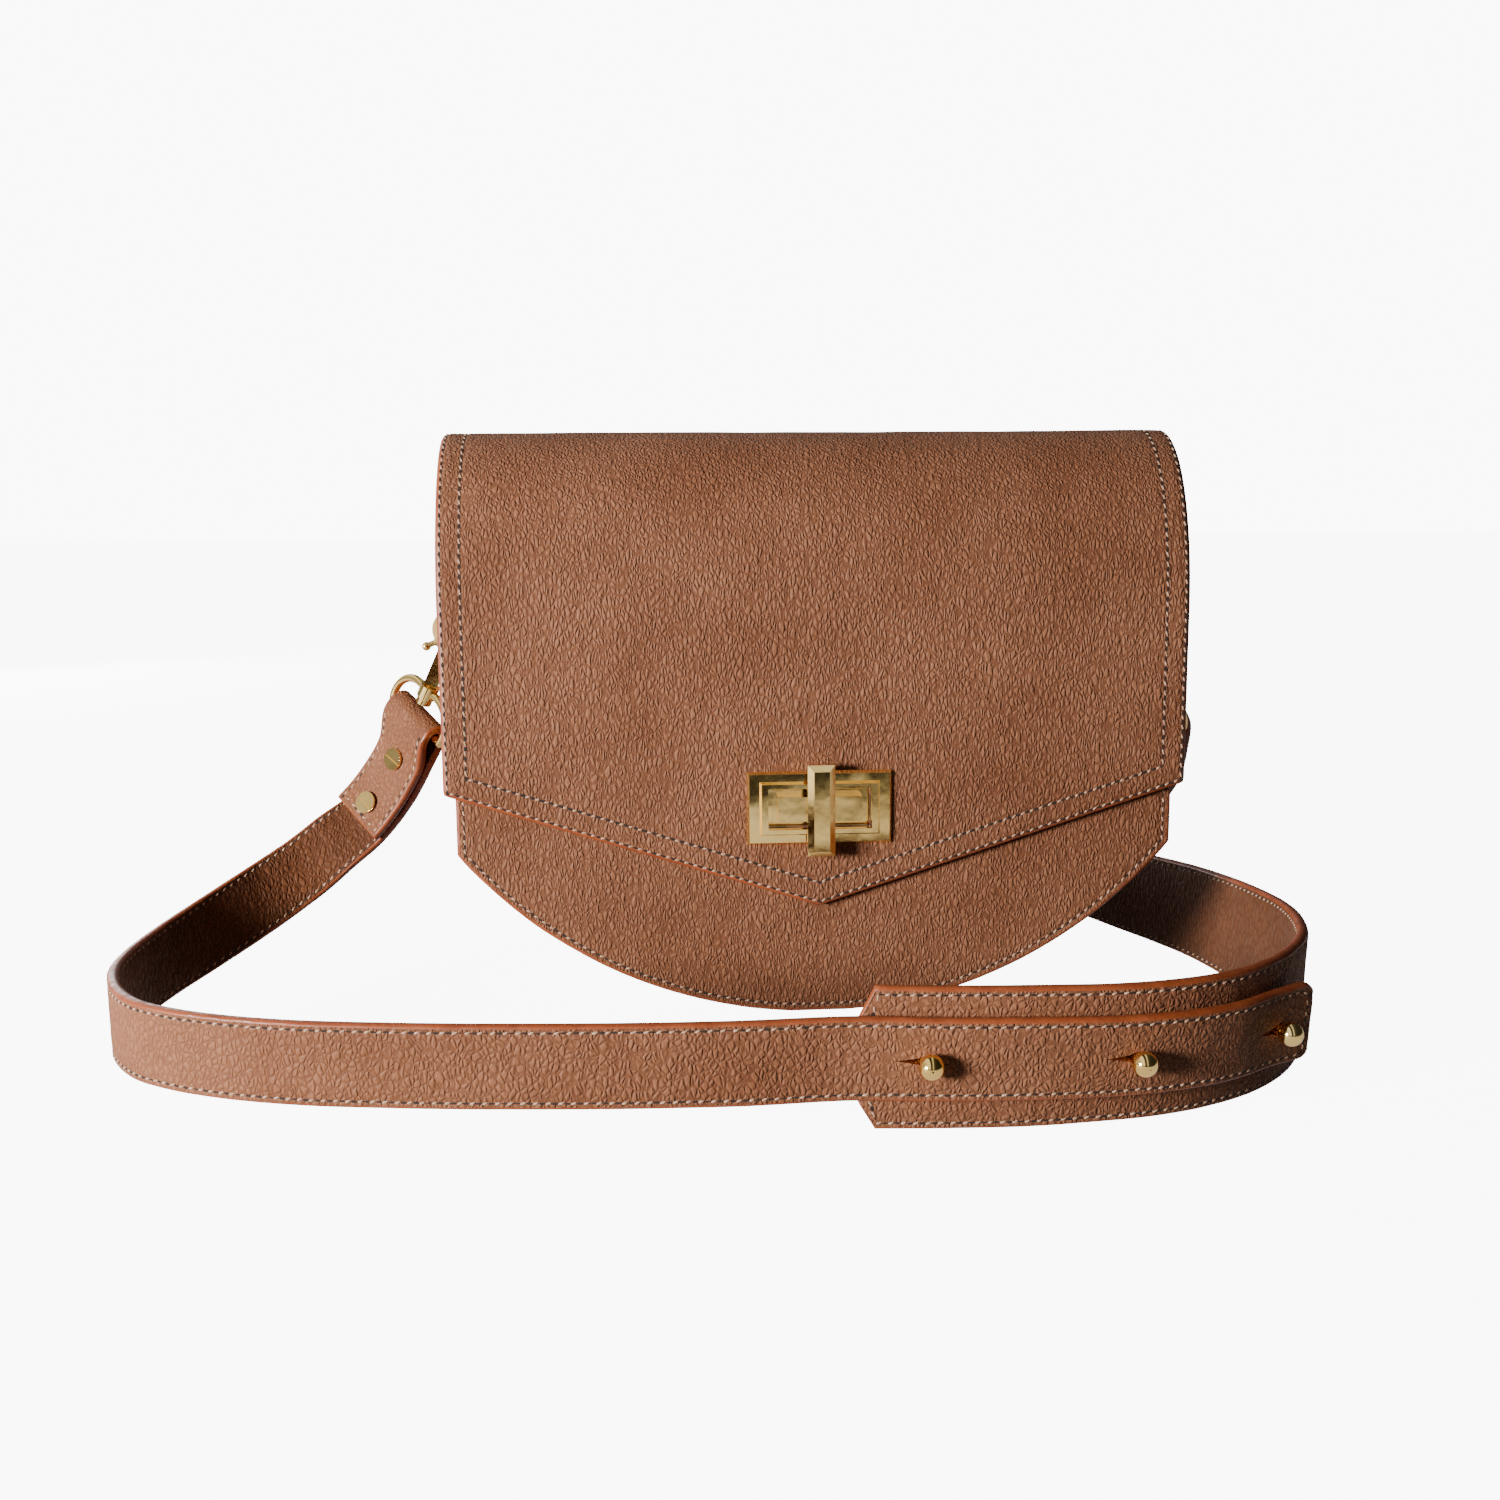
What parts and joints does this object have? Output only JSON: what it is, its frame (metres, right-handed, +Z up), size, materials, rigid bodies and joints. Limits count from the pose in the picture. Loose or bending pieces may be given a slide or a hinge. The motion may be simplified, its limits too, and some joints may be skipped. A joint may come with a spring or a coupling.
{
  "type": "sling bag",
  "caption": "Small leather sling bag with a folding front flap, a turn lock, a round bottom and an adjustable strap on two swivel snap hooks.",
  "frame": {"origin": "on the ground, at the middle of the flat bottom edge of the front panel", "axes": "+X across the bag towards the right side seen from the front, +Y from the front flap to the back, +Z up"},
  "size_m": [0.3667, 0.2602, 0.1905],
  "materials": {
    "leather": "pebbled, satin",
    "strap_leather": "fine grain, satin",
    "strap_inside": "smooth, satin",
    "gusset_leather": "pebbled, satin",
    "lining": "woven",
    "board": "pressed fibre",
    "gold": "polished pale gold",
    "steel": "plain"
  },
  "bodies": {
    "bag": {"front_panel": "leather", "front_board": "board", "front_lining": "lining", "back_panel": "leather", "back_board": "board", "back_lining": "lining", "gusset": "gusset_leather", "gusset_lining": "lining", "slip_pocket": "lining", "flap_back_band": "leather", "lock_base": "gold", "lock_washer": "steel", "left_side_tab": "leather", "right_side_tab": "leather", "tab_rivets": "gold", "narrow_strap_outer": "strap_leather", "narrow_strap_lining": "strap_inside", "wide_strap_outer": "strap_leather", "wide_strap_lining": "strap_inside", "strap_studs": "gold", "stud_screws": "gold"},
    "flap_crown": {"flap_crown": "leather", "flap_crown_lining": "lining"},
    "flap_front": {"flap_front": "leather", "flap_front_lining": "lining", "lock_face_plate": "gold", "lock_back_plate": "steel", "lock_plate_screws": "gold"},
    "lock_bar": {"lock_bar": "gold", "lock_clip": "steel"},
    "left_ring": {"left_d_ring": "gold"},
    "left_eye": {"left_strap_eye": "gold", "left_end_screws": "gold", "left_end_posts": "gold"},
    "left_hook": {"left_hook_body": "gold", "left_gate_pin": "gold"},
    "left_gate": {"left_hook_gate": "gold"},
    "right_ring": {"right_d_ring": "gold"},
    "right_eye": {"right_strap_eye": "gold", "right_end_screws": "gold", "right_end_posts": "gold"},
    "right_hook": {"right_hook_body": "gold", "right_gate_pin": "gold"},
    "right_gate": {"right_hook_gate": "gold"}
  },
  "joints": [
    {"name": "flap_lift", "type": "hinge", "parent": "bag", "child": "flap_crown", "pos_m": [0, 0.05944, 0.15], "axis": [-1, 0, 0], "range_deg": [0, 120]},
    {"name": "flap_fold", "type": "hinge", "parent": "flap_crown", "child": "flap_front", "pos_m": [0, -0.00184, 0.15], "axis": [-1, 0, 0], "range_deg": [0, 90]},
    {"name": "lock_turn", "type": "hinge", "parent": "bag", "child": "lock_bar", "pos_m": [0, -0.0012, 0.0695], "axis": [0, -1, 0], "range_deg": [0, 90]},
    {"name": "left_clasp_swing", "type": "hinge", "parent": "bag", "child": "left_eye", "pos_m": [-0.1141, 0.0288, 0.146], "axis": [0, 1, 0], "range_deg": [0, 25], "deforming": ["narrow_strap_outer", "narrow_strap_lining"]},
    {"name": "left_ring_swing", "type": "hinge", "parent": "bag", "child": "left_ring", "pos_m": [-0.1141, 0.0288, 0.146], "axis": [0, 1, 0], "range_deg": [0, 25]},
    {"name": "left_hook_swivel", "type": "hinge", "parent": "left_eye", "child": "left_hook", "pos_m": [-0.11841, 0.0288, 0.1274], "axis": [0.4263, -0.308, 0.8505], "range_deg": [-18, 18]},
    {"name": "left_gate_press", "type": "hinge", "parent": "left_hook", "child": "left_gate", "pos_m": [-0.12402, 0.03105, 0.12244], "axis": [0.138, 0.9514, 0.2754], "range_deg": [0, 18], "stiffness_Nm_per_rad": 0.002},
    {"name": "right_clasp_swing", "type": "hinge", "parent": "bag", "child": "right_eye", "pos_m": [0.1141, 0.0288, 0.146], "axis": [0, -1, 0], "range_deg": [0, 25], "deforming": ["wide_strap_outer", "wide_strap_lining"]},
    {"name": "right_ring_swing", "type": "hinge", "parent": "bag", "child": "right_ring", "pos_m": [0.1141, 0.0288, 0.146], "axis": [0, -1, 0], "range_deg": [0, 25]},
    {"name": "right_hook_swivel", "type": "hinge", "parent": "right_eye", "child": "right_hook", "pos_m": [0.11847, 0.0288, 0.12725], "axis": [-0.2376, -0.434, 0.869], "range_deg": [-18, 12]},
    {"name": "right_gate_press", "type": "hinge", "parent": "right_hook", "child": "right_gate", "pos_m": [0.1229, 0.03197, 0.12164], "axis": [0.1145, -0.9009, -0.4187], "range_deg": [0, 18], "stiffness_Nm_per_rad": 0.002}
  ],
  "couplings": [
    {"joint": "left_ring_swing", "follows": "left_clasp_swing", "ratio": 1},
    {"joint": "right_ring_swing", "follows": "right_clasp_swing", "ratio": 1}
  ]
}
